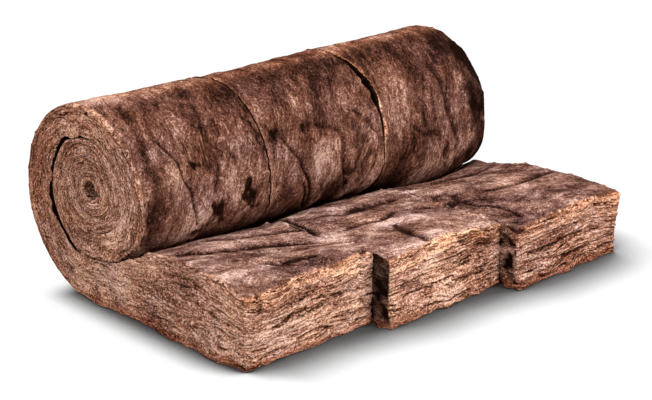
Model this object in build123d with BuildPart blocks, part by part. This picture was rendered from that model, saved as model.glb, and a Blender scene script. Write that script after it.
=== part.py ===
"""A roll of mineral wool loft insulation, lying on the floor with its free end laid out.

The blanket was cut into three strips along its length before it was rolled, so
three strips lie side by side. Each one runs from its cut front edge, flat along
the floor, up behind the coil, over it, and on inwards as one continuous winding.
The wool is squeezed harder the nearer it lies to the eye of the coil, so every
lap reaches a fixed share of the lap outside it. The weight of the wool makes the
laps sag and lean, and the outer lap has sprung away from the one inside it. The
laps further in press on each other, and show as a groove on both ends.

Millimetres. X runs along the coil, from the near end to the far end. The free
end points to -Y. Z is up, and the floor is z = 0. The origin is on the floor at
the middle of the footprint.
"""

from build123d import *
import os

# The blanket
strip_names = ["near_strip", "middle_strip", "far_strip"]
strip_width = 380.0
cut_gap = 0.4  # left by the factory's cut between two strips
edge_thickness = 171.0  # at the near strip's cut front edge, where the wool sprang back
loft_drop = 7.0  # each strip further along has sprung back this much less

# The free end. Reaches are measured to the front from the eye of the coil
flap_reach = 523.0  # of the near strip
strip_step = 49.0  # each strip further along lies this much further forward
crest_reach = 348.0  # where the free end is thickest
crest_height = 177.0  # of the near strip
front_fall_share = 0.2  # how fast the free end thins at its cut front, per length

# The coil. The outer lap's reach from the eye, each way
eye_height = 272.0  # also the reach down, because the outer lap lies on the floor
back_reach = 246.0
top_reach = 186.0
front_reach = 182.0
lap_share = 0.62  # the reach of each lap, as a share of the lap outside it
lean_share = 0.12  # how far a lap's lowest and highest points lie back, per reach
sag_share = 0.15  # how far a lap's rearmost and foremost points lie low, per reach
nest_angle = 48.0  # how far down the coil's front the free end leaves it, degrees
sprung_quarters = 7  # quarter turns from the floor to where the outer lap lies close
wound_quarters = 19  # quarter turns from the floor to the inner end of the blanket

# Between a lap and the one inside it
lap_gap = 2.5
crack_behind = 13.0  # the outer lap has sprung open behind the coil
crack_above = 8.0
groove_depth = 9.0  # how deep the closed laps show in the ends
touch_angle = 4.0  # where a groove begins and ends, the laps touch, degrees

# Roundings
front_top_round = 14.0
front_bottom_round = 20.0

strip_count = len(strip_names)
longest_reach = flap_reach + strip_step * (strip_count - 1)
eye_y = (longest_reach - back_reach) / 2
full_width = strip_count * strip_width + (strip_count - 1) * cut_gap


def lap_point(quarter, gap=0.0):
    """The point where the winding crosses straight below, behind, above or in
    front of the eye, counted in quarter turns from the floor, moved outwards by
    a gap. Given in the section's own axes: across to the back, and up."""
    reaches = [eye_height, back_reach, top_reach, front_reach]
    reach = reaches[quarter % 4] * lap_share ** (quarter // 4)
    lean = lean_share * reach
    low = eye_height - sag_share * reach
    return [
        Vector(lean, eye_height - reach - gap),
        Vector(reach + gap, low),
        Vector(lean, eye_height + reach + gap),
        Vector(-reach - gap, low),
    ][quarter % 4]


def inner_point(quarter):
    """The winding's inner face: the next lap's outer face, and the gap to it."""
    gap = {1: crack_behind, 2: crack_above}.get(quarter, lap_gap)
    return lap_point(quarter + 4, gap)


def quarter_arc(quarter, face, first_angle=0.0, last_angle=90.0, mode=Mode.ADD):
    """A quarter of an ellipse along one face of the winding, or a part of it. Its
    ends are level or upright, so that the next one carries on smoothly."""
    start, end = face(quarter), face(quarter + 1)
    return EllipticalCenterArc(
        Vector(start.X, end.Y) if quarter % 2 == 0 else Vector(end.X, start.Y),
        abs(end.X - start.X),
        abs(end.Y - start.Y),
        start_angle=(270 + 90 * quarter + first_angle) % 360,
        arc_size=last_angle - first_angle,
        mode=mode,
    )


def strip_outline(reach, drop):
    """The outside of one strip, seen from its near end: along the floor, up behind
    the coil and over it, down its front, and forward over the free end, which lies
    lower than the near strip's by a drop."""
    Line((-reach, 0), lap_point(0))
    for quarter in range(3):
        quarter_arc(quarter, lap_point)
    coil_front = quarter_arc(3, lap_point, last_angle=nest_angle)
    nest = quarter_arc(-1, inner_point, first_angle=nest_angle, mode=Mode.PRIVATE)
    Line(coil_front @ 1, nest @ 0)
    free_top = Spline(
        nest @ 0,
        (-crest_reach, crest_height - drop),
        (-reach, edge_thickness - drop),
        tangents=[-(nest % 0), (-1, 0), (-1, -front_fall_share)],
    )
    Line(free_top @ 1, (-reach, 0))


def gap_outline(first, last, first_angle, last_angle=90.0):
    """The gap between each lap and the one outside it, over some quarter turns."""
    sides = [
        [
            quarter_arc(
                quarter - start,
                face,
                first_angle if quarter == first else 0,
                last_angle if quarter == last - 1 else 90,
            )
            for quarter in range(first, last)
        ]
        for face, start in [(lap_point, 0), (inner_point, 4)]
    ]
    Line(sides[0][0] @ 0, sides[1][0] @ 0)
    Line(sides[0][-1] @ 1, sides[1][-1] @ 1)


def eye_outline():
    """The bore inside the innermost lap, up to the blanket's inner end."""
    for quarter in range(wound_quarters - 4, wound_quarters):
        quarter_arc(quarter, inner_point)
    Line(inner_point(wound_quarters), inner_point(wound_quarters - 4))


os.makedirs("parts", exist_ok=True)
for index, name in enumerate(strip_names):
    start_x = index * (strip_width + cut_gap) - full_width / 2
    near_cut = Plane(origin=(start_x, eye_y, 0), x_dir=(0, 1, 0), z_dir=(1, 0, 0))
    with BuildPart() as strip:
        with BuildSketch(near_cut) as section:
            with BuildLine():
                strip_outline(flap_reach + strip_step * index, loft_drop * index)
            make_face()
            front_low, front_high = section.vertices().sort_by(Axis.X)[:2].sort_by(Axis.Y)
            fillet(front_low, front_bottom_round)
            fillet(front_high, front_top_round)
        extrude(amount=strip_width)
        with BuildSketch(near_cut):
            with BuildLine():
                gap_outline(3, sprung_quarters, nest_angle)
            make_face()
            with BuildLine():
                eye_outline()
            make_face()
        extrude(amount=strip_width, mode=Mode.SUBTRACT)
        with BuildSketch(near_cut, near_cut.offset(strip_width - groove_depth)):
            with BuildLine():
                gap_outline(
                    sprung_quarters, wound_quarters, touch_angle, 90 - touch_angle
                )
            make_face()
        extrude(amount=groove_depth, mode=Mode.SUBTRACT)
    strip.part.label = name
    export_step(strip.part, f"parts/{name}.step")
    print(name, "volume in litres", round(strip.part.volume / 1e6, 1))
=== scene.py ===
"""Finishes the insulation roll: three strips of brown mineral wool, wound up side by
side, with their free ends laid out on the floor.

Each strip is one closed mesh, bent along the winding of its solid. A place in the
wool is given by three numbers: the turn, counted in quarter turns of the winding
and running from -1 at the cut front edge through 0 straight below the eye; how far
across the strip it lies; and its depth below the outer face. Metres, in the frame's
own axes: X along the coil, the free end towards -Y, and Z up.
"""

import itertools
import math

import bpy
import numpy as np
from mathutils import Matrix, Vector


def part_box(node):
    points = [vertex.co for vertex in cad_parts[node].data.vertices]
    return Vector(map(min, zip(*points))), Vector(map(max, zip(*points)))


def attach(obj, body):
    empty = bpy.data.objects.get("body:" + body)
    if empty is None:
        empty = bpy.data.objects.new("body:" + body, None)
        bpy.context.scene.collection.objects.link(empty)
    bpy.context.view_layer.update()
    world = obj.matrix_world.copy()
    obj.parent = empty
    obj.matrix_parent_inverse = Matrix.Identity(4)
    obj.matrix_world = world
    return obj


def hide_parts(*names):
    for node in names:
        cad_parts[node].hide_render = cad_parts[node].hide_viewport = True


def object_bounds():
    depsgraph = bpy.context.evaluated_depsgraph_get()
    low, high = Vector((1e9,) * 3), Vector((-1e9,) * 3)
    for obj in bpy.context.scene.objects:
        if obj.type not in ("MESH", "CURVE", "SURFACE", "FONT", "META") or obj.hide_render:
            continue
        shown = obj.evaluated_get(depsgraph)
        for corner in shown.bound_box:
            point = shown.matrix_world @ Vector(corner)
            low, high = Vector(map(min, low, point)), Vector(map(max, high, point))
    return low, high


MM = 0.001
STRIP_NAMES = ["near_strip", "middle_strip", "far_strip"]

# The winding, as in the solids. Reaches are measured from the eye of the coil:
# down, back, up and to the front
EYE_HEIGHT = 272 * MM
REACHES = np.array([272, 246, 186, 182]) * MM
LAP_SHARE = 0.62
LEAN_SHARE = 0.12
SAG_SHARE = 0.15
LAST_TURN = 19

# The free end
BLANKET = 170 * MM  # how thick it lies
CREST_REACH = 348 * MM
CREST_HEIGHT = 177 * MM
FRONT_FALL_SHARE = 0.2
NEST_ANGLE = math.radians(48)  # how far down the coil's front the free end leaves it
NEST_TURN = -0.27  # where that is, counted along the free end

# Heights of the cut front edge, in millimetres at equal steps across each strip
FRONT_HEIGHTS = {
    "near_strip": [165, 160, 170, 176, 174, 178, 172],
    "middle_strip": [163, 164, 169, 172, 167, 158, 155],
    "far_strip": [151, 152, 156, 162, 164, 160, 151],
}

# In the same way, how far the free end's top lies under the near strip's crest, and
# how far the coil sags where it rests on that top
CREST_DROPS = {
    "near_strip": [-11, -8, -2, 5, 11, 16, 19],
    "middle_strip": [19, 16, 13, 13, 17, 22, 26],
    "far_strip": [26, 21, 17, 16, 16, 17, 18],
}
NIP_SAGS = {
    "near_strip": [5, 7, 10, 13, 15, 17, 18],
    "middle_strip": [18, 17, 16, 16, 18, 20, 22],
    "far_strip": [24, 36, 46, 50, 46, 38, 28],
}

# The gap between a lap and the one inside it, at some turns
GAP_TURNS = [
    0.0, 0.24, 0.5, 0.6, 0.68, 0.78, 0.88, 0.96, 1.05, 1.2, 1.38, 1.48, 1.62, 1.7, 1.77, 1.93,
    2.03, 4.0,
]
GAPS = np.array([1, 2.5, 5, 13, 20, 11, 16, 8, 5.5, 5.5, 7, 7, 9, 5, 3.5, 4, 0.8, 0.8]) * MM

# How far that gap strays from the winding's own line, outwards
STRAY_TURNS = [3.9, 4.15, 4.45, 4.85, 5.1, 5.37, 5.5, 5.64, 5.79, 5.95, 6.2]
STRAYS = np.array([0, 3, -4, -3, -8, -8, -5, -1, -6, -3, 0]) * MM

# The mesh
CELLS_ACROSS = 144
CELLS_DEEP = 72
HIDDEN_CELLS = 24  # how many small cells a large one spans, where nothing shows
TOUCHING = 1e-6  # a corner nearer than this to a face is on it
ROWS = [  # the turn where each stretch begins, and its number of rows
    (-1.0, 4), (-0.985, 138), (0.0, 58), (1.0, 62), (2.0, 88), (3.0, 70),
    (4.0, 176), (8.0, 104), (12.0, 56), (16.0, 36),
]


def ease(low, high, values):
    """Rises smoothly from 0 at low to 1 at high: three squares less two cubes."""
    share = np.clip((values - low) / (high - low), 0, 1)
    return share * share * (3 - 2 * share)


def hump(values, start, full, falling, end):
    """Rises smoothly from 0 at start to 1 at full, and falls again from falling to end."""
    return ease(start, full, values) * ease(end, falling, values)


def corner_numbers(cells, seed):
    """One number from 0 to 1 for each whole-numbered corner: its three indices are
    multiplied by large odd numbers, added, and mixed by shifts."""
    whole = cells.astype(np.int64)
    mixed = whole[..., 0] * 374761393 + whole[..., 1] * 668265263
    mixed = (mixed + whole[..., 2] * 2147483629 + seed * 144665161) & 0xFFFFFFFF
    mixed = ((mixed ^ (mixed >> 15)) * 2246822519) & 0xFFFFFFFF
    mixed = ((mixed ^ (mixed >> 13)) * 3266489917) & 0xFFFFFFFF
    return (mixed ^ (mixed >> 16)) / 0xFFFFFFFF


def noise(points, sizes, seed):
    """Smooth noise from -1 to 1. The points are counted in cells of the given sizes,
    and the numbers at each cell's eight corners are blended by an ease."""
    scaled = points / np.asarray(sizes)
    cells = np.floor(scaled)
    part = scaled - cells
    part = part * part * (3 - 2 * part)
    total = np.zeros(len(points))
    for corner in itertools.product((0, 1), repeat=3):
        weight = np.prod(np.where(corner, part, 1 - part), axis=1)
        total += weight * corner_numbers(cells + corner, seed)
    return 2 * total - 1


def layered_noise(points, sizes, seed, octaves=3):
    """Noise, and copies of it that are each half the size and half as strong."""
    sizes = np.asarray(sizes, dtype=float)
    return sum(
        noise(points, sizes / 2**octave, seed + octave) / 2**octave
        for octave in range(octaves)
    )


def crossing(quarter):
    """Where the winding crosses straight below, behind, above or in front of the
    eye, as in the solids: across to the back, and up from the floor."""
    side = quarter % 4
    reach = REACHES[side] * LAP_SHARE ** (quarter // 4)
    level = side % 2 == 0
    sign = np.where((side == 1) | (side == 2), 1, -1)
    across = np.where(level, LEAN_SHARE * reach, sign * reach)
    up = np.where(level, EYE_HEIGHT + sign * reach, EYE_HEIGHT - SAG_SHARE * reach)
    return across, up


def winding(turn):
    """The outer face of the winding at each turn: between two crossings it is a
    quarter of an ellipse, whose centre is level with one and in line with the other."""
    quarter = np.floor(turn).astype(int)
    angle = (turn - quarter) * math.pi / 2
    y0, z0 = crossing(quarter)
    y1, z1 = crossing(quarter + 1)
    level = quarter % 2 == 0
    y = np.where(level, y0 + (y1 - y0) * np.sin(angle), y1 + (y0 - y1) * np.cos(angle))
    z = np.where(level, z1 + (z0 - z1) * np.cos(angle), z0 + (z1 - z0) * np.sin(angle))
    return np.stack([y, z], axis=-1)


def unit(vectors):
    """Each vector divided by its length."""
    return vectors / np.maximum(np.linalg.norm(vectors, axis=-1, keepdims=True), 1e-9)


def bent_line(start, end, leaving, arriving, share):
    """A cubic between two points with a given direction at each end, as long as the
    straight line between them."""
    length = np.linalg.norm(np.subtract(end, start))
    s = share[:, None]
    return (
        (2 * s**3 - 3 * s**2 + 1) * start + (s**3 - 2 * s**2 + s) * length * unit(leaving)
        + (3 * s**2 - 2 * s**3) * end + (s**3 - s**2) * length * unit(arriving)
    )


def inner_turn(turn):
    """The turn of the winding that lies against the blanket's inner face: four on, or
    along the free end the stretch of the coil's front that rests in it."""
    nest = NEST_ANGLE / (math.pi / 2)
    resting = 4 - (1 - nest) * turn / NEST_TURN
    return np.where(turn < 0, resting, turn + 4)


def faces_of(turn, reach):
    """Both faces of the blanket at each turn, from the eye's height over the floor:
    the outer one, the inner one, and the way out of each."""
    across, _ = crossing(np.array(0))
    laid = np.stack([across * (turn + 1) + reach * turn, np.zeros_like(turn)], axis=-1)
    outer = np.where(turn[:, None] < 0, laid, winding(np.maximum(turn, 0)))

    lap = winding(inner_turn(np.maximum(turn, NEST_TURN)))
    outwards = unit(lap - [0, EYE_HEIGHT])
    inner = lap + outwards * np.interp(turn, GAP_TURNS, GAPS)[:, None]

    resting = inner[turn >= NEST_TURN]
    nest, crest = resting[0], np.array([-CREST_REACH, CREST_HEIGHT])
    front = np.array([-reach, BLANKET])
    slope, level = nest - resting[1], np.array([-1.0, 0.0])
    to_front, to_nest = np.linalg.norm(front - crest), np.linalg.norm(nest - crest)
    middle = -1 + (NEST_TURN + 1) * to_front / (to_front + to_nest)
    near_front = turn < middle
    free = (turn >= middle) & (turn < NEST_TURN)
    inner[near_front] = bent_line(
        front, crest, [1, FRONT_FALL_SHARE], -level, (turn[near_front] + 1) / (middle + 1)
    )
    share = (turn[free] - middle) / (NEST_TURN - middle)
    inner[free] = bent_line(crest, nest, -level, -slope, share)

    def way_out(line):
        """At right angles to a line, on its right hand side as the turns rise."""
        along = unit(np.gradient(line, axis=0))
        return np.stack([along[:, 1], -along[:, 0]], axis=-1)

    return outer, inner, way_out(outer), way_out(inner)


def row_turns():
    """The turn of each row of the mesh."""
    starts = [start for start, _ in ROWS] + [LAST_TURN]
    parts = [
        np.linspace(start, end, count, endpoint=False)
        for (start, count), end in zip(ROWS, starts[1:])
    ]
    return np.concatenate(parts + [[LAST_TURN]])


def run_cells(first, last, stride, length):
    """Two triangles for each cell of a run of rows, as pairs of row and column."""
    row, column = np.meshgrid(
        np.arange(first, last), np.arange(0, length, stride), indexing="ij"
    )
    row, column = row.ravel(), column.ravel()
    a, b = (row, column), (row, column + stride)
    c, d = (row + 1, column + stride), (row + 1, column)
    corners = [[a, b, c], [a, c, d]]
    return np.concatenate([np.moveaxis(np.array(tri), 2, 0) for tri in corners])


def fan_cells(row, step, fine, coarse, length):
    """Triangles from a row of fine cells to the next or last row's coarse ones: one
    on each fine cell, up to the nearer coarse corner, and one on each coarse cell."""
    start = np.arange(0, length, fine)
    half = (coarse // fine + 1) // 2
    later = (start // fine) % (coarse // fine) >= half
    nearest = (start // coarse + later) * coarse
    here, there = np.full(len(start), row), np.full(len(start), row + step)
    small = np.array([(here, start), (here, start + fine), (there, nearest)])
    wide = np.arange(0, length, coarse)
    here, there = np.full(len(wide), row), np.full(len(wide), row + step)
    large = np.array([(there, wide + coarse), (there, wide), (here, wide + half * fine)])
    cells = np.concatenate([np.moveaxis(small, 2, 0), np.moveaxis(large, 2, 0)])
    return cells if step > 0 else cells[:, ::-1]


def sheet_cells(rows, length, sections):
    """One face of the strip. Each section begins at a row and has its own stride."""
    starts = [start for start, _ in sections] + [rows]
    parts = []
    for index, (start, stride) in enumerate(sections):
        first = start
        if index:
            before = sections[index - 1][1]
            fine, coarse = min(before, stride), max(before, stride)
            row, step = (start - 1, 1) if before < stride else (start, -1)
            if fine != coarse:
                parts.append(fan_cells(row, step, fine, coarse, length))
            else:
                first = start - 1
        parts.append(run_cells(first, starts[index + 1] - 1, stride, length))
    return np.concatenate(parts)


def strip_cells(turns, seen):
    """The strip's closed surface, as triples of row, cell across and cell deep. What
    is seen has small cells, and what lies hidden has large ones."""
    last = len(turns) - 1

    def at(turn):
        return int(np.searchsorted(turns, turn))

    across = {
        0: [
            (0, 1), (2, 16), (at(0.1), 4), (at(1.6), 2), (at(1.9), 1),
            (at(3.85), HIDDEN_CELLS),
        ],
        CELLS_DEEP: [(0, 1), (at(NEST_TURN + 0.1), HIDDEN_CELLS)],
    }
    deep = {0: seen[0], CELLS_ACROSS: seen[1]}
    parts = []
    for depth, sections in across.items():
        cells = sheet_cells(last + 1, CELLS_ACROSS, sections)
        triple = np.stack([cells[..., 0], cells[..., 1], np.full(cells.shape[:2], depth)], -1)
        parts.append(triple if depth else triple[:, ::-1])
    for side, sections in deep.items():
        sections = [(at(turn) if turn > -1 else 0, stride) for turn, stride in sections]
        cells = sheet_cells(last + 1, CELLS_DEEP, sections)
        triple = np.stack([cells[..., 0], np.full(cells.shape[:2], side), cells[..., 1]], -1)
        parts.append(triple[:, ::-1] if side else triple)
    front = run_cells(0, CELLS_DEEP, 1, CELLS_ACROSS)
    parts.append(np.stack([np.zeros(front.shape[:2], int), front[..., 1], front[..., 0]], -1))
    steps = deep[0][-1][1]
    back = run_cells(0, CELLS_DEEP // steps, HIDDEN_CELLS, CELLS_ACROSS)
    back = np.stack([np.full(back.shape[:2], last), back[..., 1], back[..., 0] * steps], -1)
    parts.append(back[:, ::-1])
    return np.concatenate(parts)


# The layers in the wool, which show wherever it is cut
LAYER_PITCH = 7 * MM
LAYER_STEP = 1.7 * MM  # how far single layers stand out or back
LAYER_BULGE = 1.0 * MM
CREVICE_DEPTH = 6 * MM
FACE_SWELL = 3 * MM  # how far a whole cut face swells and sinks
EDGE_WIDTH = 35 * MM  # how far over a skin the raggedness of its edge reaches
CUT_STRETCH = 2.4  # how much finer the cut wool's pattern is along the blanket
LOOSE_TURNS = [-1, -0.8, -0.5, 0.3]  # the layers lie loosest at the cut front edge
LOOSE_SHARES = [1.0, 0.8, 0.6, 0.55]

# Which small cells each end of a strip needs: the turn where they begin, and their size
SEEN_END = [(-1, 1), (0.0, 2), (8.0, 4)]
HIDDEN_END = [(-1, 1), (-0.985, 12), (18.5, 4)]
STEPPED_END = [(-1, 1), (-0.88, 12), (18.5, 4)]
END_CELLS = {
    "near_strip": (SEEN_END, HIDDEN_END),
    "middle_strip": (STEPPED_END, HIDDEN_END),
    "far_strip": (STEPPED_END, SEEN_END),
}

# How dark the painted shade is on the sides of each strip's free end, near and far,
# where they stand in each other's shade
SIDE_SHADE = {
    "near_strip": (0.0, 0.9),
    "middle_strip": (0.87, 0.6),
    "far_strip": (0.22, 0.0),
}
# How dark the painted shade is on the ends that touch inside the coil
CLOSED_SHADE = 0.97  # of the ends that touch inside the coil

# How far the edge between the coil's skin and an open end is rounded, at some turns
ROUND_TURNS = [1.0, 1.7, 2.1, 3.4]
NEAR_ROUNDS = np.array([5, 7, 17, 19]) * MM
FAR_ROUNDS = np.array([7, 8, 10, 10]) * MM

# How far the other edges are rounded
INNER_ROUND = 1.5 * MM  # in the coil's outermost gap, and less further in
CLOSED_ROUND = 3 * MM  # where two strips touch
OPEN_TOP_ROUND = 7 * MM
FLOOR_ROUND = 5 * MM
FRONT_ROUNDS = (9 * MM, 6 * MM)  # at the cut front's bottom, and at its top
CORNER_ROUND = 6 * MM  # between the cut front and an end
BOTTOM_CORNERS = (26 * MM, 8 * MM)  # how much more at the floor: near, and far

GRAIN_LEAN = 0.35  # how far the skins' grain leans off its straight way, per length

# How far the skins stand out or sink
PATCH_SINK = 2 * MM  # a dark patch
SEAM_TUFT = 3.5 * MM  # tufts beside the cuts over the coil
EDGE_TUFT = 4.5 * MM  # tufts on the free end's upper edges
GAP_JAG = 5 * MM  # the jagged lips of the crack
NIP_GAP = 11 * MM  # between the coil's front and the free end
END_DIP = 14 * MM  # the free end's top, low beside the far end's nip

# How far the free end's edges are squashed outwards or lean
FRONT_SQUASH = 6 * MM
NEAR_SQUASH = 9 * MM
STEP_LIP = 8 * MM  # at the bottom of each step between two cut fronts
FAR_LEAN = 15 * MM

# How far the cut between the middle and the far strip has opened, on each side of it
SEAM_TURNS = [2.1, 2.25, 2.4, 2.55, 2.68, 2.8, 2.95]
SEAM_WIDTHS = np.array([0, 3, 7, 9, 7.5, 3, 0]) * MM
SEAM_DEPTH = 75 * MM

# The marks on the skins
QUARTER_RUN = 327 * MM  # how far it is over the coil's front, from its top to level
LINE_WANDER = 5 * MM  # how far each mark wanders off the places given for it

# Creases in the coil's skin: how wide and deep each is, how dark the painted shade in
# it is, and the places that it runs through, as turns and millimetres along the coil
# from its middle
CREASES = {
    "near_strip": [
        (4, 4, 0.5, [
            (2.5, -474), (2.67, -453), (2.8, -438), (2.91, -422), (3.01, -418), (3.21, -412),
        ]),
        (16, 5, 0.1, [
            (2.15, -497), (2.3, -516), (2.65, -526), (2.82, -511), (3.13, -529), (3.4, -535),
        ]),
        (8, 3, 0.1, [(2.2, -455), (2.45, -478), (2.7, -487), (2.9, -480)]),
        (6, 3, 0.2, [(2.3, -330), (2.5, -345), (2.75, -340), (2.95, -352)]),
    ],
    "middle_strip": [
        (7, 4, 0.35, [(2.68, -148), (2.74, -128), (2.82, -111), (2.92, -91), (3.02, -75)]),
        (5, 6, 0.8, [(3.0, -78), (3.1, -66), (3.22, -55), (3.38, -47), (3.5, -40)]),
        (5, 5, 0.8, [(3.12, -82), (3.2, -74), (3.37, -64), (3.5, -45)]),
        (8, 4, 0.2, [(2.69, -62), (2.69, -30), (2.71, 8), (2.76, 42), (2.85, 52), (3.08, 50)]),
        (5, 4, 0.5, [(2.98, 53), (3.08, 50), (3.2, 55), (3.36, 66)]),
        (6, 3, 0.3, [(2.64, 90), (2.685, 114), (2.774, 148), (2.863, 170)]),
    ],
    "far_strip": [
        (8, 4, 0.3, [(2.9, 300), (2.97, 340), (2.98, 370), (3.1, 395)]),
        (9, 5, 0.3, [(2.45, 420), (2.6, 436), (2.9, 430), (3.1, 446)]),
    ],
}

# Patches on the skin: the turn and the place along the coil, how far each reaches
# round it and along it, and how much paler or darker it is
PATCHES = {
    "near_strip": [
        (3.11, -343, 38, 22, -1.4), (3.04, -255, 46, 26, -1.4), (3.3, -412, 30, 26, -1.3),
        (2.73, -405, 15, 13, -1.2), (2.45, -202, 20, 14, -1.0), (2.62, -204, 24, 14, -0.5),
        (2.88, -306, 60, 26, 0.8), (3.2, -545, 70, 22, -0.5),
    ],
    "middle_strip": [
        (2.69, -58, 16, 15, -1.3), (2.68, -163, 20, 20, -1.1), (2.87, -12, 62, 54, 0.5),
        (2.45, -95, 60, 40, 0.5), (3.3, 20, 60, 60, -0.4), (3.0, 110, 110, 40, -0.3),
    ],
    "far_strip": [
        (2.95, 245, 45, 13, 0.8), (2.89, 388, 9, 8, -0.8), (3.38, 470, 70, 60, -0.6),
        (2.5, 540, 120, 26, -0.5), (2.35, 250, 40, 50, 0.5), (3.1, 330, 70, 60, -0.3),
    ],
}

# Furrows in the free end's top, as the creases, with places as millimetres from the
# footprint's middle, along the coil and to the back
TOP_CREASES = {
    "near_strip": [
        (9, 7, 1.0, [(-388, -259), (-365, -262), (-340, -257), (-306, -269)]),
        (8, 5, 0.7, [(-418, -238), (-404, -262), (-388, -272)]),
        (9, 6, 0.5, [(-480, -10), (-420, -35), (-340, -62), (-270, -78), (-200, -100)]),
        (12, 5, 0.3, [(-540, -90), (-440, -125), (-330, -140), (-230, -190)]),
    ],
    "middle_strip": [
        (9, 7, 0.7, [(-188, 40), (-172, -20), (-168, -80), (-182, -150)]),
        (9, 5, 0.4, [(-150, -60), (-60, -110), (40, -120), (130, -100)]),
        (12, 6, 0.4, [(-30, -250), (-50, -310), (-52, -360)]),
        (8, 5, 0.4, [(-120, -180), (-20, -200), (60, -170), (150, -190)]),
    ],
    "far_strip": [
        (9, 5, 0.5, [(190, -215), (232, -222), (256, -190), (248, -165), (215, -160)]),
        (8, 5, 0.4, [(235, -245), (262, -318), (258, -385)]),
        (9, 5, 0.4, [(300, -90), (400, -120), (500, -110), (560, -160)]),
        (10, 5, 0.3, [(330, -230), (430, -250), (540, -240)]),
    ],
}

# Slits in the cut front edges, dark with painted shade as the creases are, with places
# along the coil and up from the floor
FRONT_CREASES = {
    "near_strip": [
        (4, 8, 1.0, [(-492, 80), (-474, 83), (-452, 89), (-432, 90)]),
        (3, 5, 0.7, [(-420, 32), (-380, 38), (-330, 36)]),
        (3, 4, 0.6, [(-330, 120), (-290, 117), (-240, 122)]),
    ],
    "middle_strip": [
        (3, 5, 0.7, [(-150, 98), (-110, 104), (-70, 102)]),
        (3, 5, 0.6, [(20, 60), (70, 55), (130, 58)]),
    ],
    "far_strip": [
        (3, 6, 0.8, [(230, 96), (300, 92), (380, 95), (430, 92)]),
        (3, 5, 0.6, [(330, 50), (400, 45), (470, 50)]),
    ],
}

# How much paler than the rest of the wool the ends, the free end's top, the cut front
# edges and the torn rims of the coil's skin are; on the cut fronts the paleness is
# painted light
END_PALENESS = 0.32
TOP_PALENESS = {"near_strip": 0.25, "middle_strip": 0.35, "far_strip": -0.2}
FRONT_PAINTED_LIGHT = {"near_strip": 0.8, "middle_strip": 0.5, "far_strip": 0.1}
RIM_PALENESS = {"near_strip": 0, "middle_strip": 0.45, "far_strip": 1}
PALE_CURL = [15.35, 15.6, 15.95, 16.15]  # turns of the eye's palest lap

# How dark the painted shade is in the nip, and at some turns on the skin beside the
# coil's far end
NIP_SHADE = 0.95
SHOULDER_TURNS = [2.0, 2.2, 2.35, 2.6, 2.8, 3.0, 3.3]
SHOULDER_SHARES = [0, 0.5, 1, 1, 0.7, 0.9, 1]


def layers(place, loose):
    """How far the wool stands out of a cut face, how much it is cracked, and how deep
    it lies with the waves of its layers taken out. Each layer stands out by its own
    amount and is rounded, and between some of them runs a crevice."""
    warp = 11 * MM * layered_noise(place, [0.16, 0.16, 0.09], 11)
    warp += 2.5 * MM * noise(place, [0.03, 0.03, 0.02], 17)
    depth = (place[:, 2] + warp) / LAYER_PITCH
    index, border = np.floor(depth), np.round(depth)
    own = np.stack([place[:, 0], place[:, 1], index * 7.7], axis=-1)
    step = noise(own, [0.06, 0.06, 1.0], 31) + 0.5 * noise(own, [0.02, 0.02, 1.0], 37)
    bulge = 1 - (2 * (depth - index) - 1) ** 2
    own[:, 2] = border * 5.3
    apart = ease(0.22, 0.6, noise(own, [0.06, 0.06, 1.0], 23))
    crevice = apart * ease(0.3, 0.05, np.abs(depth - border))
    tufts = layered_noise(place, [0.012, 0.012, 0.006], 41, 2)
    stand = loose * (LAYER_STEP * step + LAYER_BULGE * (bulge - 0.6)) + 0.9 * MM * tufts
    stand += FACE_SWELL * layered_noise(place, [0.12, 0.12, 0.07], 47, 2)
    return stand - CREVICE_DEPTH * loose * crevice, crevice, depth * LAYER_PITCH


def line_marks(points, lines, scale):
    """How deep the creases are at each point, and how dark the painted shade in them is:
    each one is deepest on a broken line, and falls off as a bell with the distance from it."""
    deep, dark = np.zeros(len(points)), np.zeros(len(points))
    for width, depth, darkness, corners in lines:
        corners = np.array(corners) * scale
        away = np.full(len(points), np.inf)
        for start, end in zip(corners[:-1], corners[1:]):
            run = end - start
            share = np.clip((points - start) @ run / (run @ run), 0, 1)
            gap = points - start - share[:, None] * run
            away = np.minimum(away, np.hypot(gap[:, 0], gap[:, 1]))
        deep = np.maximum(deep, depth * MM * np.exp(-((away / (width * MM)) ** 2)))
        dark = np.maximum(dark, darkness * np.exp(-((away / (0.5 * width * MM)) ** 2)))
    return deep, dark


def patch_marks(points, patches, ragged):
    """How much paler the patches are at each point: none beyond their reach, which is
    ragged. Dark ones have a sharper edge than pale ones."""
    pale = np.zeros(len(points))
    for turn, across, around, along, strength in patches:
        away = (points - [turn * QUARTER_RUN, across * MM]) / [around * MM, along * MM]
        full = 0.35 if strength > -0.7 else 0.1
        pale += strength * ease(1.0, full, np.hypot(away[:, 0], away[:, 1]) * ragged)
    return pale


def creases(place, sizes, width, seed):
    """Thin lines that wander over a skin: where smooth noise passes through zero, and
    only in some places."""
    line = ease(width, 0, np.abs(noise(place, sizes, seed)))
    return line * ease(0.1, 0.5, noise(place, np.multiply(sizes, 0.9), seed + 5))


def coil_relief(turn, place):
    """How far the skin stands out over the coil: soft lumps, streaks that run round
    it and lean to the far end, and folds pinched where it meets the free end."""
    flat = place * [1, 1, 0]
    lumps = 3 * MM * layered_noise(flat, [0.15, 0.13, 1.0], 51, 4)
    leaning = np.stack([place[:, 0], place[:, 1] + GRAIN_LEAN * place[:, 0], 0 * turn], -1)
    streaks = 1.2 * MM * layered_noise(leaning, [0.06, 0.016, 1.0], 61, 2)
    pinched = ease(2.9, 3.5, turn) * 5 * MM * noise(leaning, [0.3, 0.03, 1.0], 67)
    folds = 3.5 * MM * creases(leaning, [0.16, 0.07, 1.0], 0.05, 83)
    sunk = ease(-0.45, -0.15, place[:, 1]) * hump(turn, 1.0, 1.7, 2.2, 2.8)
    return (lumps + streaks + pinched - folds - 7 * MM * sunk) * ease(0.1, 0.7, turn)


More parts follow.
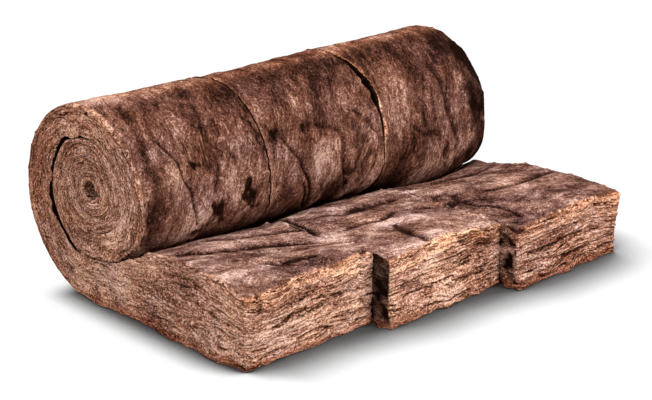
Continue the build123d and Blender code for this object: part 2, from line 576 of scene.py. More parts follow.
def top_relief(place):
    """How far the skin stands up on the free end: low ridges and furrows that run
    along the coil and wander."""
    bent = place * [1, 1, 0]
    bent[:, 0] += GRAIN_LEAN * place[:, 1] + 0.05 * noise(bent, [0.11, 0.13, 1.0], 71)
    furrows = 4 * MM * creases(bent, [0.045, 0.15, 1.0], 0.08, 89)
    ridges = 2.5 * MM * layered_noise(bent, [0.045, 0.2, 1.0], 73, 3)
    return ridges + 1.2 * MM * noise(bent, [0.014, 0.07, 1.0], 75) - furrows


def lap_relief(turn, place):
    """How far the faces inside the coil wander, the same for both sides of a gap."""
    wander = 2.5 * MM * LAP_SHARE ** (turn / 4) * noise(place * [1, 1, 0], [0.05, 0.1, 1.0], 79)
    return wander + np.interp(turn, STRAY_TURNS, STRAYS)


def nip_sag(turn, sag):
    """How far the coil's front bulges down over the free end, fading out under it."""
    return sag * hump(turn, 2.9, 3.5, 3.6, 4.0)


def nearness(away, width=EDGE_WIDTH, power=2):
    """1 on a face, falling to 0 at a width from it: a straight fall, to a power."""
    return np.clip(1 - away / width, 0, 1) ** power


def rounding(to_first, to_second, radius):
    """Lays the two faces beside an edge on a quarter circle: how far each point moves
    away from the first face, and from the second."""
    on_first, on_second = to_first < TOUCHING, to_second < TOUCHING
    away = np.where(on_first, to_second, to_first)
    angle = np.clip(1 - away / radius, 0, 1) * math.pi / 4
    sunk = radius * (1 - np.cos(angle))
    moved = np.where(away < radius, radius * (1 - np.sin(angle)) - away, 0)
    beside = on_first | on_second
    from_first = np.where(on_first, sunk, moved) * beside
    from_second = np.where(on_first, moved, sunk) * beside
    return from_first, from_second


class Strip:
    """The corners of one strip's mesh. It keeps where each corner lies in the wool and
    how far it is from every face, then what marks it, and then the moves that shape
    it: along the coil, to the back, and inwards from the outer skin."""

    def __init__(self, name, eye_y):
        low, high = (np.array(corner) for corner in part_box(name))
        width = high[0] - low[0]
        turns = row_turns()
        cells = strip_cells(turns, END_CELLS[name])
        keys = (cells[..., 0] * (CELLS_ACROSS + 1) + cells[..., 1]) * (CELLS_DEEP + 1)
        used, triangles = np.unique(keys + cells[..., 2], return_inverse=True)
        row, rest = np.divmod(used, (CELLS_ACROSS + 1) * (CELLS_DEEP + 1))
        side, deep = np.divmod(rest, CELLS_DEEP + 1)

        outer, inner, outer_way, inner_way = faces_of(turns, eye_y - low[1])
        middle = (outer + inner) / 2
        steps = np.linalg.norm(np.diff(middle, axis=0), axis=1)
        along = np.concatenate([[0], np.cumsum(steps)])
        straight_below = np.searchsorted(turns, 0)
        along -= along[straight_below]
        thick = np.linalg.norm(outer - inner, axis=1)
        laid = ease(-0.05, -0.5, turns) * (BLANKET - thick[straight_below])
        thick = np.where(turns < 0, thick[straight_below] + laid, thick)

        self.name, self.eye_y, self.triangles = name, eye_y, triangles.reshape(-1, 3)
        self.turn, self.share, self.across = turns[row], deep / CELLS_DEEP, side / CELLS_ACROSS
        self.faces = [line[row] for line in (outer, inner, outer_way, inner_way)]
        self.thick = thick[row]
        self.x = low[0] + self.across * width
        self.place = np.stack([along[row], self.x, self.share * self.thick], axis=-1)
        self.flat = self.place * [1, 1, 0]
        self.to_ends = [self.across * width, (1 - self.across) * width]
        self.to_end = np.minimum(*self.to_ends)
        self.to_skins = [self.place[:, 2], self.thick - self.place[:, 2]]
        self.to_front = along[row] - along[0]
        self.open_ends = [name == STRIP_NAMES[0], name == STRIP_NAMES[-1]]
        self.outer_skin, self.inner_skin = (away < TOUCHING for away in self.to_skins)
        self.skin = self.outer_skin | self.inner_skin
        self.on_top = (self.turn < NEST_TURN) & self.inner_skin
        self.on_front = self.to_front < TOUCHING
        self.on_end = self.to_end < TOUCHING
        self.seen_coil = self.outer_skin & (self.turn > 0.3) & (self.turn < 4)
        self.speckle = layered_noise(self.place, [0.05, 0.05, 0.02], 97)
        self.move_x, self.move_y, self.move_deep = np.zeros((3, len(row)))

    def measured(self, table):
        """A height in metres, between the places across the strip where it is given."""
        heights = table[self.name]
        return np.interp(self.across, np.linspace(0, 1, len(heights)), heights) * MM

    def waver(self, sizes, seed, octaves=3):
        """Noise along the blanket and across it, the same through its whole depth."""
        return layered_noise(self.flat, [*sizes, 1.0], seed, octaves)

    def mark_skins(self):
        """Finds the creases, patches and furrows. Their lines wander with noise."""
        wander = [self.waver([0.04, 0.04], seed) for seed in (93, 96)]
        wander = LINE_WANDER * np.stack(wander, -1)
        over_coil = np.stack([self.turn * QUARTER_RUN, self.x], -1) + wander
        scale = [QUARTER_RUN, MM]
        self.crease, self.crease_shade = line_marks(over_coil, CREASES[self.name], scale)
        torn = 1 + 0.75 * self.waver([0.013, 0.013], 133, 2)
        self.patch = patch_marks(over_coil, PATCHES[self.name], np.clip(torn, 0.3, 2))
        over_top = np.stack([self.x, self.faces[0][:, 0] + self.eye_y], -1) + wander
        self.furrow, self.furrow_shade = line_marks(over_top, TOP_CREASES[self.name], [MM, MM])

    def bend_skins(self):
        """Moves both skins off the winding's own lines, and lays what is between them
        at its share of the way from one to the other."""
        turn, place = self.turn, self.place
        sag = self.measured(NIP_SAGS)
        tufts = ease(0.25, 0.75, self.waver([0.012, 0.012], 113, 1))

        # The outer skin: seen over the coil, and inside it the face of a gap
        over_coil = ease(3.85, 3.6, turn)
        sunk = self.crease - PATCH_SINK * np.minimum(self.patch, 0)
        raised = SEAM_TUFT * ease(10 * MM, 0, self.to_end) * tufts
        self.coil_skin = coil_relief(turn, place) - sunk + raised
        out_by = over_coil * self.coil_skin + (1 - over_coil) * lap_relief(turn, place)
        out_by += nip_sag(turn, sag)

        # The inner skin: it follows what lies against it, and is jagged in the crack
        resting = inner_turn(np.maximum(turn, NEST_TURN))
        jag = GAP_JAG * layered_noise(place, [0.016, 0.05, 1.0], 101, 3) * ease(0.1, 0.4, turn)
        jag *= ease(2.25, 2.0, turn) * ease(60 * MM, 0, self.to_end)
        jag = np.maximum(jag, 1 * MM - np.interp(turn, GAP_TURNS, GAPS))
        nip_gap = NIP_GAP * hump(turn, -0.42, NEST_TURN, -0.2, -0.05)
        if self.open_ends[0]:
            nip_gap *= ease(0, 14 * MM, self.to_ends[0])
        if self.open_ends[1]:
            nip_gap *= ease(-60 * MM, 120 * MM, self.to_ends[1])
        in_by = lap_relief(resting, place) + nip_sag(resting, sag) + nip_gap + jag

        # The free end's top: its measured heights, and lower towards the coil
        front_share, nip_share = ease(-0.68, -1.0, turn), ease(-0.6, NEST_TURN, turn)
        up_by = front_share * (self.measured(FRONT_HEIGHTS) - BLANKET) - nip_share * sag - nip_gap
        up_by -= (1 - front_share - nip_share) * self.measured(CREST_DROPS)
        if self.open_ends[1]:
            dip = hump(turn, -0.62, -0.45, -0.4, -0.3)
            up_by -= END_DIP * dip * ease(120 * MM, 0, self.to_ends[1])
        frayed = ease(18 * MM, 0, np.minimum(self.to_end, self.to_front)) * tufts
        self.top_skin = top_relief(place) - self.furrow + EDGE_TUFT * frayed
        self.top_skin *= ease(NEST_TURN, NEST_TURN - 0.1, turn)
        in_by = np.where(turn < NEST_TURN, -up_by - self.top_skin, in_by)

        outer, inner, outer_way, inner_way = self.faces
        outside = outer + outer_way * out_by[:, None]
        inside = inner + inner_way * in_by[:, None]
        self.section = outside + self.share[:, None] * (inside - outside)
        self.inwards = unit(inside - outside)

    def round_edges(self):
        """Rounds the edges beside both ends and beside the cut front."""
        turn = self.turn
        uneven = 1 + 0.5 * self.waver([0.028, 0.028], 103, 1)
        inside_coil = INNER_ROUND * LAP_SHARE ** np.maximum(turn // 4, 0)
        sides = zip(self.to_ends, (1, -1), self.open_ends, (NEAR_ROUNDS, FAR_ROUNDS))
        for to_end, way, is_open, rounds in sides:
            over_coil = np.interp(turn, ROUND_TURNS, rounds) if is_open else CLOSED_ROUND
            outer_round = np.where(turn < 3.6, over_coil, inside_coil)
            outer_round = np.where(turn < 0.2, FLOOR_ROUND * uneven, outer_round)
            top_round = OPEN_TOP_ROUND if is_open else CLOSED_ROUND
            inner_round = np.where(turn < 0, top_round, inside_coil)
            skins = zip(self.to_skins, (1, -1), (outer_round, inner_round))
            for to_skin, depth_way, radius in skins:
                from_end, from_skin = rounding(to_end, to_skin, radius)
                self.move_x += way * from_end
                self.move_deep += depth_way * from_skin
        skins = zip(self.to_skins, (1, -1), (FRONT_ROUNDS[0] * uneven, FRONT_ROUNDS[1]))
        for to_skin, depth_way, radius in skins:
            from_front, from_skin = rounding(self.to_front, to_skin, radius)
            self.move_y += from_front
            self.move_deep += depth_way * from_skin
        near_more = 0 if self.open_ends[0] else BOTTOM_CORNERS[0]
        for to_end, way, more in zip(self.to_ends, (1, -1), (near_more, BOTTOM_CORNERS[1])):
            radius = CORNER_ROUND + more * ease(45 * MM, 0, self.to_skins[0])
            from_end, from_front = rounding(to_end, self.to_front, radius)
            self.move_x += way * from_end
            self.move_y += from_front

    def raise_layers(self):
        """Lets the layers stand out of every cut face, and a little way over the skins
        beside it. Between two strips they are pressed flat, but where the cut opened."""
        self.loose = np.interp(self.turn, LOOSE_TURNS, LOOSE_SHARES)
        stand, self.crevice, self.layer_depth = layers(self.place, self.loose)
        stand = stand * np.clip(self.thick / BLANKET + 0.2, 0, 1)
        over_front = np.stack([self.x, self.place[:, 2]], -1)
        # The slits sink into the cut front, and are darkened with painted shade
        slit, self.slit_shade = line_marks(over_front, FRONT_CREASES[self.name], MM)
        self.stand = stand - slit * self.on_front

        seam = ease(SEAM_DEPTH, 0, self.to_skins[0])
        seam *= np.interp(self.turn, SEAM_TURNS, SEAM_WIDTHS)
        seam *= 1 + 0.5 * self.waver([0.022, 0.1], 107)
        seam_ends = [self.name == "far_strip", self.name == "middle_strip"]
        sides = zip(self.to_ends, (-1, 1), self.open_ends, seam_ends)
        for to_end, way, is_open, opened in sides:
            pressed = np.clip(0.35 * self.stand - 0.7 * MM, -2.2 * MM, 0) - opened * seam
            self.move_x += way * nearness(to_end) * (self.stand if is_open else pressed)
        self.move_y -= nearness(self.to_front) * self.stand

    def squash_edges(self):
        """Squashes the free end's bottom outwards, in lumps, under the near end and at
        the cut fronts, and lets the top lean out at the far end."""
        lumps = 1 + 0.8 * self.waver([0.035, 0.035], 109, 2)
        squashed = ease(55 * MM, 5 * MM, self.to_skins[0]) * lumps
        self.move_y -= FRONT_SQUASH * squashed * nearness(self.to_front)
        if self.open_ends[0]:
            under = nearness(self.to_ends[0]) * ease(0.3, -0.2, self.turn)
            self.move_x -= NEAR_SQUASH * squashed * under * ease(0, 0.1, self.to_front)
        else:
            lip = nearness(self.to_ends[0], 2 * EDGE_WIDTH, 1) * ease(0, 25 * MM, self.to_front)
            lip *= ease(46 * MM, 25 * MM, self.to_front) * ease(30 * MM, 8 * MM, self.to_skins[0])
            self.move_x -= STEP_LIP * lip * lumps
        if self.open_ends[1]:
            leaning = nearness(self.to_ends[1], 4 * EDGE_WIDTH, 1) * self.share**2
            self.move_x += FAR_LEAN * leaning * ease(-0.4, -1, self.turn)

    def points(self):
        """The finished corners: the section with its moves, and nothing under the floor."""
        section = self.section + self.move_deep[:, None] * self.inwards
        y = section[:, 0] + self.move_y + self.eye_y
        return np.stack([self.x + self.move_x, y, np.maximum(section[:, 1], 0)], -1)

    def torn_rim(self):
        """How much the skin beside the coil's near edge is torn to frayed, pale wool."""
        frays = self.waver([0.03, 0.009], 127, 1)
        away = self.to_ends[0] + 4 * MM * self.speckle + 8 * MM * frays
        rim = ease(15 * MM, 3 * MM, away) * self.seen_coil * RIM_PALENESS[self.name]
        return rim * hump(self.turn, 1.8, 2.0, 3.1, 3.4)

    def cut_share(self, rim):
        """How much each place looks like a cut face: all of one, and a ragged border of
        the skins beside it, which is widest where the coil's skin meets an open end."""
        border = ease(9 * MM, 2 * MM, self.to_front + 4 * MM * self.speckle)
        for to_end, is_open in zip(self.to_ends, self.open_ends):
            wide = 9 * MM if is_open else 3 * MM
            wide = np.where((self.turn > 0.3) & is_open, 15 * MM, wide)
            ragged = to_end + 0.4 * wide * self.speckle
            border = np.maximum(border, ease(wide, 0.3 * wide, ragged))
        return np.where(self.skin, np.maximum(border, 0.8 * rim), 1.0)

    def gap_shade(self):
        """How dark the painted shade on the faces of the gaps is: black inside, and on the
        strip's ends only where the outer lap has sprung open. The bore is paler, as light
        falls in."""
        turn = self.turn
        gap_turn = np.where(self.share > 0.5, turn, turn - 4)
        at_end = np.interp(gap_turn, [-0.1, 0.2, 2.1, 2.35], [0.05, 1, 1, 0.35])
        at_end *= np.where((gap_turn > 0.2) & (gap_turn < 2.2), 1, 0.6 + 0.8 * self.speckle)
        at_end = np.where(turn > 13, 0.4, at_end)
        in_gap = (self.inner_skin & (turn > NEST_TURN + 0.02)) | (self.outer_skin & (turn > 3.8))
        return in_gap * np.where(self.on_end, at_end, np.where(turn > 14, 0.5, 1))

    def side_shade(self):
        """How dark the painted shade on both ends is where strips stand side by side:
        streaked along the steps at the front, and paler where they turn out at the bottom."""
        bands = layered_noise(self.place * [1, 0.3, 1], [0.03, 0.1, 0.022], 131, 2)
        lit = 0.6 * ease(26 * MM, 14 * MM, self.to_skins[0] + 5 * MM * self.speckle)
        darkest = np.zeros(len(self.x))
        sides = zip(self.to_ends, self.open_ends, SIDE_SHADE[self.name])
        for to_end, is_open, darkness in sides:
            if not is_open:
                darkness = np.where(self.turn > 0, CLOSED_SHADE, darkness)
            darkness = darkness * (1 - lit * (self.turn < 0))
            streaks = 1 + 2 * bands * ((self.turn < 0) & (not is_open))
            streaked = 1 - np.clip((1 - darkness) * streaks, 0, 1)
            at_end = (to_end < TOUCHING) * ease(0, 3 * MM, self.to_front)
            darkest = np.maximum(darkest, streaked * at_end)
        return darkest

    def skin_darkness(self):
        """How dark the marks on the skins are: painted shade in the creases, in the furrows
        and in the nip between the coil and the free end, the dark patches, and painted
        shade on the far end's shoulder."""
        turn, speckle = self.turn, self.speckle
        patch_edge = 1 + 0.5 * self.waver([0.008, 0.008], 139, 2)
        marks = np.maximum(self.crease_shade, np.clip(-0.8 * self.patch * patch_edge, 0, 0.85))
        # Painted shade along the nip, under the coil's front
        marks = np.maximum(marks, NIP_SHADE * ease(3.3, 3.6, turn + 0.08 * speckle))
        if self.open_ends[1]:
            # Painted shade on the far end's rounded shoulder, mottled
            mottled = 1 + 0.45 * self.waver([0.035, 0.025], 135, 3)
            shoulder = ease(100 * MM, 25 * MM, self.to_ends[1] + 34 * MM * speckle)
            shoulder *= np.interp(turn, SHOULDER_TURNS, SHOULDER_SHARES) * mottled
            marks = np.maximum(marks, np.clip(shoulder, 0, 0.96))
        # Painted shade on the free end's top beside the nip
        nip = ease(NEST_TURN - 0.09, NEST_TURN - 0.01, turn + 0.03 * speckle)
        on_top = np.maximum(self.furrow_shade, NIP_SHADE * nip)
        return np.maximum(marks * self.seen_coil, on_top * self.on_top)

    def end_hole(self):
        """The small dark hole in the outer lap's near end: only painted shade, with no hollow
        in the mesh.
        """
        ragged = 1 + 0.5 * self.waver([0.022, 0.022], 91, 2)
        away = [(self.turn - 2.05) * 300 * MM, self.place[:, 2] - 10 * MM]
        hole = ease(9 * MM, 6 * MM, np.hypot(*away) * ragged)
        return hole * (self.to_ends[0] < TOUCHING) * self.open_ends[0]

    def looks(self):
        """What the material reads at each corner: two places and six notes."""
        rim = self.torn_rim()
        marks = self.skin_darkness()
        # Painted shade in the gaps, between strips, in creases, slits, furrows and the nip, in the
        # crevices between layers and the end's hole, and on the far shoulder; and the dark patches
        dark = np.maximum.reduce([
            self.gap_shade(), self.side_shade(), marks, self.slit_shade * self.on_front,
            self.end_hole(), 0.8 * self.crevice * self.loose * ~self.skin,
        ])

        # Paler where it stands out and darker in its hollows, as painted highlight and
        # painted shade; a painted rim highlight on the coil's ridge; and paler where the
        # tables say so
        relief = np.where(self.share > 0.5, self.top_skin / (3 * MM), self.coil_skin / (5 * MM))
        relief += 1.5 * np.maximum(self.patch, 0) * self.seen_coil
        ridge_highlight = hump(self.turn, 1.5, 1.8, 1.98, 2.16) * self.outer_skin
        if self.open_ends[0]:
            ridge_highlight = ridge_highlight * ease(-0.04, 0.13, self.to_ends[0])
        curl = np.interp(self.turn, PALE_CURL, [0, 1, 1, 0]) * (self.share < 0.25) * ~self.skin
        shade = np.where(self.skin, relief - 1.8 * marks, self.stand / (3 * MM))
        shade += 1.2 * ridge_highlight + 0.9 * rim * self.outer_skin + 4 * curl
        # Painted light on the cut fronts; the free end's top paler or darker by its table
        shade += FRONT_PAINTED_LIGHT[self.name] * self.on_front + TOP_PALENESS[self.name] * self.on_top
        shade += END_PALENESS * self.on_end * ~self.on_front

        # Tan under the cut front's upper edge and on torn wool, and tan with the painted
        # highlight on the ridge; rusty at the bottom and on the outer part of the outer
        # lap's ends, over the coil's back and top
        tan = ease(50 * MM, 0, self.to_skins[1] + 22 * MM * self.speckle)
        tan = np.maximum(tan * (self.to_front < 12 * MM), np.maximum(rim, 0.7 * ridge_highlight))
        rust = ease(24 * MM, 8 * MM, self.to_skins[0] + 12 * MM * self.speckle) * (self.turn < 1.2)
        back_laps = hump(self.turn, 0.5, 1.0, 2.2, 2.6) * ~self.skin
        rust = np.maximum(rust, 0.6 * back_laps * (self.share + 0.4 * self.speckle < 0.6))

        along, x, depth = self.place.T
        grain_coil = np.stack([along, x + GRAIN_LEAN * along, depth], -1)
        grain_top = np.stack([x - GRAIN_LEAN * along, along + GRAIN_LEAN * x, depth], -1)
        places = {
            "wool": np.stack([CUT_STRETCH * along, x, self.layer_depth], -1),
            "grain": np.where(self.on_top[:, None], grain_top, grain_coil),
        }
        notes = {
            "cut_share": self.cut_share(rim), "shade": np.clip(shade, -2, 4),
            "dark": np.clip(dark, 0, 1), "top_share": 1.0 * self.on_top, "tan": tan, "rust": rust,
        }
        return places, notes


def strip_shape(name, eye_y):
    """The strip's corners and triangles, and what its material reads at each corner."""
    strip = Strip(name, eye_y)
    strip.mark_skins()
    strip.bend_skins()
    strip.round_edges()
    strip.raise_layers()
    strip.squash_edges()
    return strip.points(), strip.triangles, *strip.looks()


def make_mesh(name, points, triangles, places=(), notes=()):
    """A mesh object with its named attributes: places are vectors and notes numbers."""
    mesh = bpy.data.meshes.new(name)
    mesh.vertices.add(len(points))
    mesh.vertices.foreach_set("co", points.astype(np.float32).ravel())
    mesh.loops.add(triangles.size)
    mesh.loops.foreach_set("vertex_index", triangles.astype(np.int32).ravel())
    mesh.polygons.add(len(triangles))
    starts = np.arange(0, triangles.size, 3, dtype=np.int32)
    mesh.polygons.foreach_set("loop_start", starts)
    mesh.update(calc_edges=True)
    mesh.polygons.foreach_set("use_smooth", np.ones(len(triangles), dtype=bool))
    for label, values in dict(places).items():
        layer = mesh.attributes.new(label, "FLOAT_VECTOR", "POINT")
        layer.data.foreach_set("vector", values.astype(np.float32).ravel())
    for label, values in dict(notes).items():
        layer = mesh.attributes.new(label, "FLOAT", "POINT")
        layer.data.foreach_set("value", values.astype(np.float32).ravel())
    mesh.validate()
    piece = bpy.data.objects.new(name, mesh)
    bpy.context.collection.objects.link(piece)
    return piece


def linear(red, green, blue):
    """A colour given as it looks on a screen, 0 to 255, as the shader needs it."""
    shares = np.array([red, green, blue]) / 255
    bent = np.where(shares < 0.04045, shares / 12.92, ((shares + 0.055) / 1.055) ** 2.4)
    return (*bent.tolist(), 1.0)


class Graph:
    """A node tree that is written as nested calls: each call adds a node, links or
    sets its inputs, and gives back its first or a named output."""

    def __init__(self, tree):
        self.tree = tree

    def add(self, kind, inputs=(), output=0, **settings):
        node = self.tree.nodes.new(kind)
        for label, value in settings.items():
            setattr(node, label, value)
        for key, value in dict(inputs).items():
            socket = node.inputs[key]
            if isinstance(value, bpy.types.NodeSocket):
                self.tree.links.new(value, socket)
            else:
                socket.default_value = value
        return node.outputs[output]

    def maths(self, operation, *values):
        return self.add("ShaderNodeMath", dict(enumerate(values)), operation=operation)

    def vector(self, operation, *values):
        return self.add("ShaderNodeVectorMath", dict(enumerate(values)), operation=operation)

    def noise(self, place, cells, detail=3.0, roughness=0.6, distortion=0.0, output=0):
        """Noise from 0 to 1, with so many cells to the metre each way."""
        scaled = self.vector("MULTIPLY", place, cells)
        inputs = {"Vector": scaled, "Scale": 1.0, "Detail": detail, "Roughness": roughness,
                  "Distortion": distortion}
        return self.add("ShaderNodeTexNoise", inputs, output)

    def total(self, *parts):
        """Adds up values, each one times its own share."""
        value = self.maths("MULTIPLY", *parts[0])
        for part, share in parts[1:]:
            value = self.maths("MULTIPLY_ADD", part, share, value)
        return value

    def spread(self, value, low, high, to_low=0.0, to_high=1.0, smooth=True):
        inputs = {"Value": value, "From Min": low, "From Max": high, "To Min": to_low,
                  "To Max": to_high}
        kind = "SMOOTHSTEP" if smooth else "LINEAR"
        return self.add("ShaderNodeMapRange", inputs, interpolation_type=kind)

    def mix(self, share, first, second):
        """Blends two colours."""
        colours = {0: share, 6: first, 7: second}
        return self.add("ShaderNodeMix", colours, 2, data_type="RGBA")

    def ramp(self, value, stops):
        """Turns a value into a colour. Each stop is a position and a screen colour."""
        node = self.tree.nodes.new("ShaderNodeValToRGB")
        self.tree.links.new(value, node.inputs[0])
        while len(node.color_ramp.elements) < len(stops):
            node.color_ramp.elements.new(0.5)
        for element, (position, *colour) in zip(node.color_ramp.elements, stops):
            element.position, element.color = position, linear(*colour)
        return node.outputs[0]

    def show(self, shader):
        result = self.tree.nodes.new("ShaderNodeOutputMaterial")
        self.tree.links.new(shader, result.inputs["Surface"])


def new_material(name):
    """An empty material, and the graph that fills it."""
    material = bpy.data.materials.new(name)
    material.use_nodes = True
    material.node_tree.nodes.clear()
    return material, Graph(material.node_tree)


def group(name, inputs, outputs, fill):
    """A node group: fill takes its graph and its input sockets by name, and gives its
    outputs by name."""
    tree = bpy.data.node_groups.new(name, "ShaderNodeTree")
    for label, kind, value in inputs:
        socket = tree.interface.new_socket(label, in_out="INPUT", socket_type=kind)
        socket.default_value = value
    for label, kind in outputs:
        tree.interface.new_socket(label, in_out="OUTPUT", socket_type=kind)
    graph = Graph(tree)
    entry, leaving = tree.nodes.new("NodeGroupInput"), tree.nodes.new("NodeGroupOutput")
    results = fill(graph, {label: entry.outputs[label] for label, _, _ in inputs})
    for label, socket in results.items():
        tree.links.new(socket, leaving.inputs[label])
    return tree


def cut_wool(graph, given):
    """Wool seen on a cut: broad bands, the fine edges of its layers, strands that lie
    along them, and grains."""
    place = given["Place"]
    bands = graph.noise(place, (6, 6, 55), 4.0, 0.65, 0.3)
    edges = graph.noise(place, (20, 20, 200), 4.0, 0.7, 0.8)
    strands = graph.noise(place, (75, 75, 330), 3.0, 0.75, 1.2)
    grains = graph.noise(place, (85, 200, 280), 2.0, 0.8)
    value = graph.total((edges, 0.33), (bands, 0.17), (strands, 0.36), (grains, 0.42))
    lines = graph.noise(place, (13, 13, 120), 3.0, 0.6, 0.4)
    away = graph.maths("ABSOLUTE", graph.maths("SUBTRACT", lines, 0.43))
    return {"Value": value, "Pits": graph.spread(away, 0.03, 0.006)}


def skin_wool(graph, given):
    """The rolled skin: soft blotches, streaks that wander along its grain, and fibres
    that cross each other, bent by one slow swirl, with small dark spots."""
    place = given["Place"]
    swirl = graph.noise(place, (6, 6, 6), 2.0, output=1)
    swirl = graph.vector("SUBTRACT", swirl, (0.5, 0.5, 0.5))
    bent = graph.vector("ADD", place, graph.vector("MULTIPLY", swirl, (0.09, 0.09, 0.0)))
    blotches = graph.noise(bent, (10, 12, 0), 7.0, 0.76)
    streaks = graph.noise(bent, (22, 52, 0), 4.0, 0.7, 0.4)
    fibres = graph.noise(bent, (95, 150, 0), 3.0, 0.75, 0.5)
    grains = graph.noise(bent, (250, 210, 0), 2.0, 0.8, 0.3)
    value = graph.total((streaks, 0.2), (blotches, 0.44), (fibres, 0.24), (grains, 0.32))
    pits = graph.noise(bent, (14, 18, 0), 5.0, 0.78)
    return {"Value": value, "Pits": graph.spread(pits, 0.36, 0.26)}


def wool_material(name):
    """Mineral wool: the streaks of its cut faces, of its skin and of its laid-out top,
    coloured from dark to light, with painted shade in the hollows, and raised as they
    are lit."""
    material, graph = new_material(name)
    inputs = [("Place", "NodeSocketVector", (0, 0, 0))]
    outputs = [("Value", "NodeSocketFloat"), ("Pits", "NodeSocketFloat")]

    def attribute(label, output="Fac"):
        return graph.add("ShaderNodeAttribute", output=output, attribute_name=label)

    def patterns(label, fill, place):
        node = graph.tree.nodes.new("ShaderNodeGroup")
        node.node_tree = group(label, inputs, outputs, fill)
        graph.tree.links.new(place, node.inputs[0])
        return node.outputs

    wool_place = attribute("wool", "Vector")
    cut = patterns("cut_wool", cut_wool, wool_place)
    skin = patterns("skin_wool", skin_wool, attribute("grain", "Vector"))
    share, shade = attribute("cut_share"), attribute("shade")
    # The shade note moves each value along its ramp: painted highlights and painted shade from the
    # relief, the marks and the ridge, and paler faces
    cut_value = graph.maths("MULTIPLY_ADD", shade, 0.05, cut["Value"])
    skin_value = graph.maths("MULTIPLY_ADD", shade, 0.045, skin["Value"])
    cut_colour = graph.ramp(cut_value, [
        (0.55, 46, 23, 16), (0.615, 122, 77, 58), (0.675, 186, 132, 107), (0.755, 255, 216, 192),
    ])
    coil_colour = graph.ramp(skin_value, [
        (0.49, 28, 15, 11), (0.565, 85, 52, 41), (0.63, 131, 90, 75), (0.72, 214, 177, 160),
    ])
    top_colour = graph.ramp(skin_value, [
        (0.51, 34, 19, 16), (0.575, 98, 66, 57), (0.635, 150, 112, 99), (0.715, 232, 198, 183),
    ])
    skin_colour = graph.mix(attribute("top_share"), coil_colour, top_colour)
    cut_colour = graph.mix(cut["Pits"], cut_colour, linear(58, 33, 24))
    skin_colour = graph.mix(skin["Pits"], skin_colour, linear(34, 20, 15))
    colour = graph.mix(share, skin_colour, cut_colour)
    # The tan note holds the painted highlight on the coil's ridge as well as tan wool
    for label, factor in (("tan", (1.2, 1.1, 0.93)), ("rust", (0.8, 0.62, 0.54))):
        tinted = graph.vector("MULTIPLY", colour, factor)
        colour = graph.mix(attribute(label), colour, tinted)
    hue = graph.spread(graph.noise(wool_place, (6, 6, 6), 3.0), 0.35, 0.65)
    mauve = graph.vector("MULTIPLY", colour, (0.98, 0.98, 1.04))
    russet = graph.vector("MULTIPLY", colour, (1.05, 1.0, 0.93))
    colour = graph.mix(hue, mauve, russet)
    # Near-black where the dark note says: mostly painted shade, and the dark patches
    colour = graph.mix(attribute("dark"), colour, linear(18, 9, 6))
    height = graph.add(
        "ShaderNodeMix", {0: share, 2: skin_value, 3: cut_value}, data_type="FLOAT"
    )
    bump = graph.add("ShaderNodeBump", {"Height": height, "Strength": 1.0, "Distance": 7 * MM})
    shader = graph.add("ShaderNodeBsdfPrincipled", {
        "Base Color": colour, "Normal": bump, "Roughness": 0.95, "Specular IOR Level": 0.0,
        "Sheen Weight": 0.04, "Sheen Roughness": 0.4, "Sheen Tint": linear(215, 130, 95),
    })
    graph.show(shader)
    return material


def floor_material():
    """A white floor. The camera sees it darken where the roll shuts out the light that
    comes down on it, in a soft grey that a ramp gives. Beside the near end the shadow
    is narrower, and behind the coil it fades out."""
    material, graph = new_material("white_floor")
    place = graph.add("ShaderNodeTexCoord", output="Object")
    along = graph.add("ShaderNodeSeparateXYZ", {0: place}, "X")
    back = graph.add("ShaderNodeSeparateXYZ", {0: place}, "Y")
    openness = graph.add("ShaderNodeAmbientOcclusion", {"Distance": 0.17}, "AO", samples=16)
    steepness = graph.spread(along, -0.62, -0.48, 1.6, 0.95)
    above = graph.maths("SUBTRACT", openness, 0.5)
    shadow = graph.ramp(graph.maths("MULTIPLY_ADD", above, steepness, 0.5), [
        (0.5, 24, 24, 24), (0.62, 95, 95, 95), (0.8, 195, 195, 195), (0.95, 255, 255, 255),
    ])
    white = graph.mix(graph.spread(back, 0.24, 0.33), shadow, (1.0, 1.0, 1.0, 1.0))
    plain = graph.add("ShaderNodeBsdfDiffuse", {"Color": (0.8, 0.8, 0.8, 1.0)})
    faint = graph.add("ShaderNodeBsdfDiffuse", {"Color": (0.08, 0.08, 0.08, 1.0)})
    light = graph.add("ShaderNodeEmission", {"Color": white, "Strength": 0.96})
    shown = graph.add("ShaderNodeAddShader", {0: faint, 1: light})
    seen = graph.add("ShaderNodeLightPath", output="Is Camera Ray")
    graph.show(graph.add("ShaderNodeMixShader", {0: seen, 1: plain, 2: shown}))
    return material


def add_lamp(name, place, target, size, power, colour=(1, 1, 1)):
    """A square lamp that faces its target."""
    lamp = bpy.data.lights.new(name, "AREA")
    lamp.size, lamp.energy, lamp.color = size, power, colour
    holder = bpy.data.objects.new(name, lamp)
    bpy.context.collection.objects.link(holder)
    holder.location = place
    aim = np.subtract(target, place)
    holder.rotation_euler = (
        math.atan2(math.hypot(aim[0], aim[1]), -aim[2]), 0, math.atan2(-aim[0], aim[1])
    )


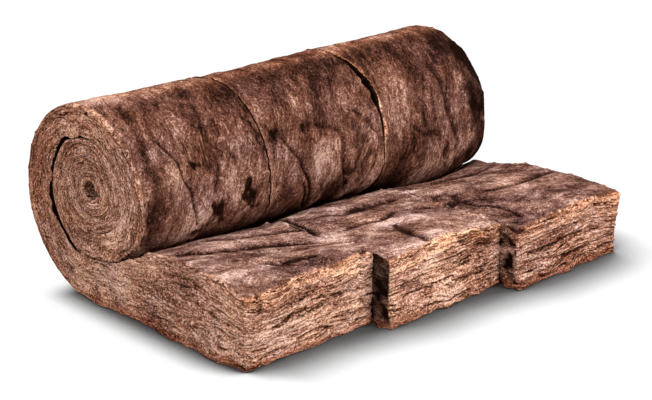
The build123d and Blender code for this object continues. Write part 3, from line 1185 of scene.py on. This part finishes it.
def add_camera():
    """The photograph's camera, turned by its roll, then by its tilt and its heading."""
    turned = Matrix()
    for angle, axis in ((-44.251, "Z"), (90 - 20.284, "X"), (0.856, "Z")):
        turned = turned @ Matrix.Rotation(math.radians(angle), 4, axis)
    lens = bpy.data.cameras.new("camera")
    lens.lens, lens.sensor_width, lens.shift_y = 94.4, 36, 0.01187
    camera = bpy.data.objects.new("camera", lens)
    bpy.context.collection.objects.link(camera)
    camera.matrix_world = Matrix.Translation((-2.7129, -2.7718, 1.5702)) @ turned
    bpy.context.scene.camera = camera


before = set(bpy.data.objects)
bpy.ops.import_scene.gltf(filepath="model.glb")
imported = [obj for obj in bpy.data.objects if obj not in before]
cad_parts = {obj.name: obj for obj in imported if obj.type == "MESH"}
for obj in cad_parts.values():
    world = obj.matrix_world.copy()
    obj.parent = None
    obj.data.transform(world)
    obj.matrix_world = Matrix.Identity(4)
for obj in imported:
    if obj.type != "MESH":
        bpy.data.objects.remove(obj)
cad_box = [list(map(float, corner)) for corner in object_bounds()]
eye_y = cad_box[1][1] - REACHES[1]
wool = wool_material("mineral_wool")
for name in STRIP_NAMES:
    points, triangles, places, notes = strip_shape(name, eye_y)
    print(name, "triangles", len(triangles))
    strip = make_mesh(name + "_wool", points, triangles, places, notes)
    strip.data.materials.append(wool)
    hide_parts(name)
    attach(strip, "root")

bpy.ops.mesh.primitive_plane_add(size=12)
floor = bpy.context.object
floor.name = "floor"
floor.data.materials.append(floor_material())

world = bpy.data.worlds.new("studio")
bpy.context.scene.world = world
world.use_nodes = True
sky = Graph(world.node_tree)
background = world.node_tree.nodes["Background"]
seen = sky.add("ShaderNodeLightPath", output="Is Camera Ray")
strength = sky.maths("MULTIPLY_ADD", seen, 0.45, 0.55)
world.node_tree.links.new(strength, background.inputs["Strength"])
background.inputs["Color"].default_value = (1, 1, 1, 1)
add_lamp("key", (1.2, -2.6, 2.2), (0, -0.2, 0.1), 1.4, 90)
add_lamp("top", (0.3, 0.9, 2.6), (0, 0, 0.3), 1.6, 50)
add_lamp("fill", (-2.8, -0.6, 1.0), (-0.3, 0, 0.2), 1.6, 20)
add_camera()
bpy.context.scene.view_settings.view_transform = "Standard"
